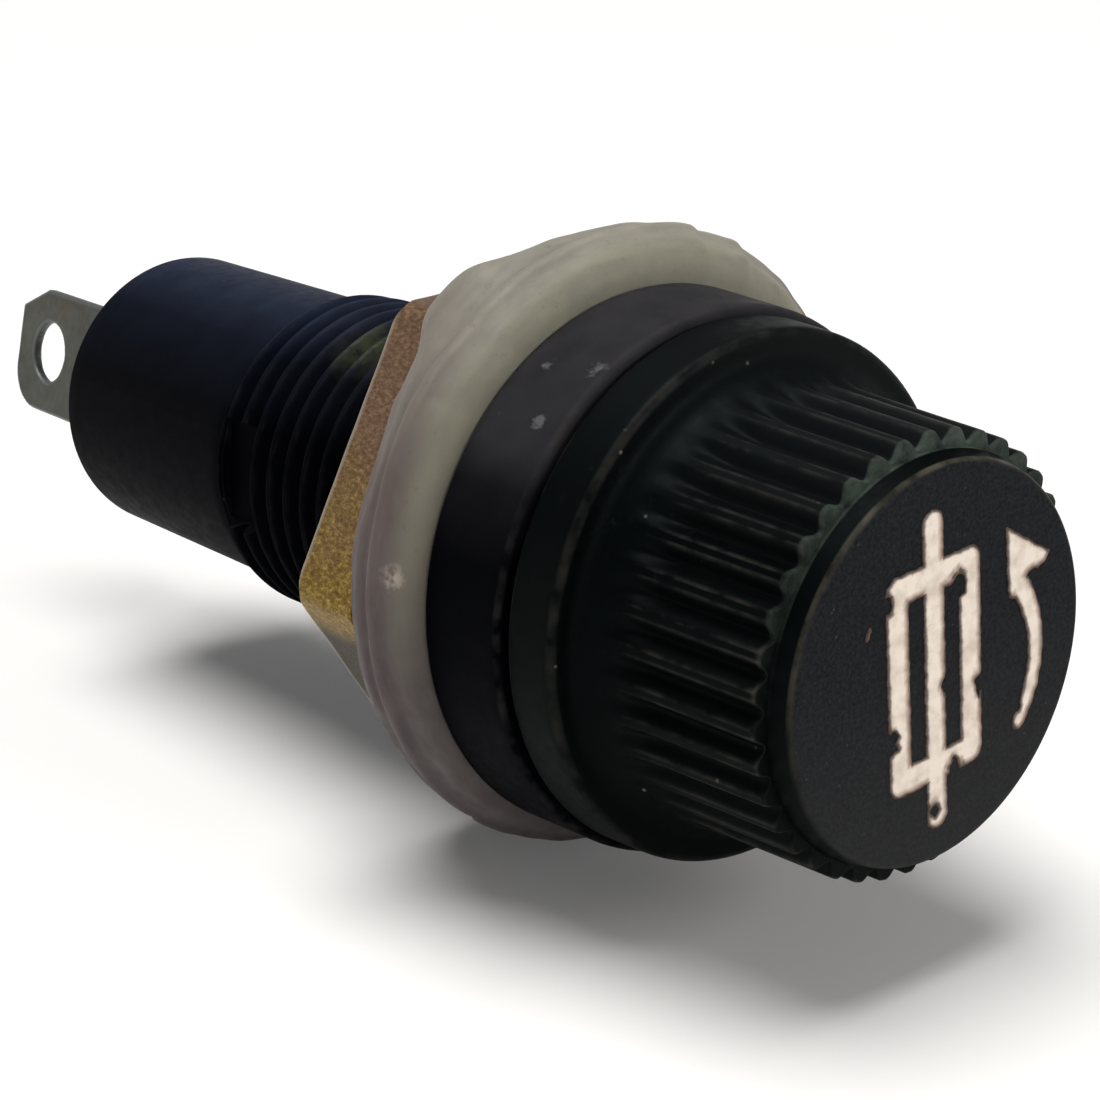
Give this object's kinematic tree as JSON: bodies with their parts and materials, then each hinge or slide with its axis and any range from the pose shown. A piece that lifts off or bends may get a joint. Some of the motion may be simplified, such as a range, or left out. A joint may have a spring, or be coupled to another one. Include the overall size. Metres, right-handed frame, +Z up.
{
  "type": "cartridge fuse holder",
  "caption": "Panel-mount holder for a small glass cartridge fuse: ribbed screw cap, flanged threaded body, soft washer, brass hex nut and two solder lugs.",
  "frame": {"origin": "on the holder's axis, on the rear face of the body flange that seats on the panel", "axes": "+Y along the axis from the cap to the solder lugs, so the cap faces -Y; +Z up with the cap's fuse symbol upright"},
  "size_m": [0.0208, 0.051, 0.0207],
  "materials": {
    "black_moulding": "satin black thermoset moulding",
    "white_fill": "matt warm white paint fill",
    "brass": "sawn and worn brass",
    "inner_brass": "rolled brass",
    "tinned_brass": "dull tinned brass",
    "nickel_brass": "nickel-plated brass",
    "spring_steel": "bright spring steel",
    "solder": "dull solder",
    "fuse_wire": "tinned copper wire",
    "fuse_glass": "clear glass",
    "soft_polymer": "soft milky polymer"
  },
  "bodies": {
    "holder": {"holder_body": "black_moulding", "contact_shell": "inner_brass", "side_terminal": "tinned_brass", "rear_lug": "tinned_brass", "rear_rivet": "tinned_brass", "spring_cup": "inner_brass", "contact_spring": "spring_steel"},
    "plunger": {"contact_plunger": "inner_brass"},
    "fuse": {"fuse_cap_front": "nickel_brass", "fuse_cap_rear": "nickel_brass", "fuse_tube": "fuse_glass", "fuse_solder": "solder", "fuse_element": "fuse_wire"},
    "cap": {"cap_knob": "black_moulding", "cap_marking": "white_fill", "cap_sleeve": "inner_brass", "fuse_clip": "inner_brass", "cap_rivet": "inner_brass"},
    "washer": {"soft_washer": "soft_polymer"},
    "nut": {"hex_nut": "brass"}
  },
  "joints": [
    {"name": "cap_lift", "type": "slide", "parent": "holder", "child": "plunger", "axis": [0, -1, 0], "range_m": [0, 0.003], "deforming": ["contact_spring"]},
    {"name": "fuse_withdraw", "type": "slide", "parent": "plunger", "child": "fuse", "axis": [0, -1, 0], "range_m": [0, 0.027]},
    {"name": "cap_turn", "type": "hinge", "parent": "fuse", "child": "cap", "pos_m": [0, 0, 0], "axis": [0, -1, 0], "range_deg": [0, 720]},
    {"name": "nut_travel", "type": "slide", "parent": "holder", "child": "washer", "axis": [0, 1, 0], "range_m": [0, 0.011]},
    {"name": "nut_turn", "type": "hinge", "parent": "washer", "child": "nut", "pos_m": [0, 0, 0], "axis": [0, 1, 0], "range_deg": [0, 3960]}
  ],
  "couplings": [
    {"joint": "cap_turn", "follows": "cap_lift", "rad_per_m": 4188.8},
    {"joint": "nut_turn", "follows": "nut_travel", "rad_per_m": 6283.2}
  ]
}
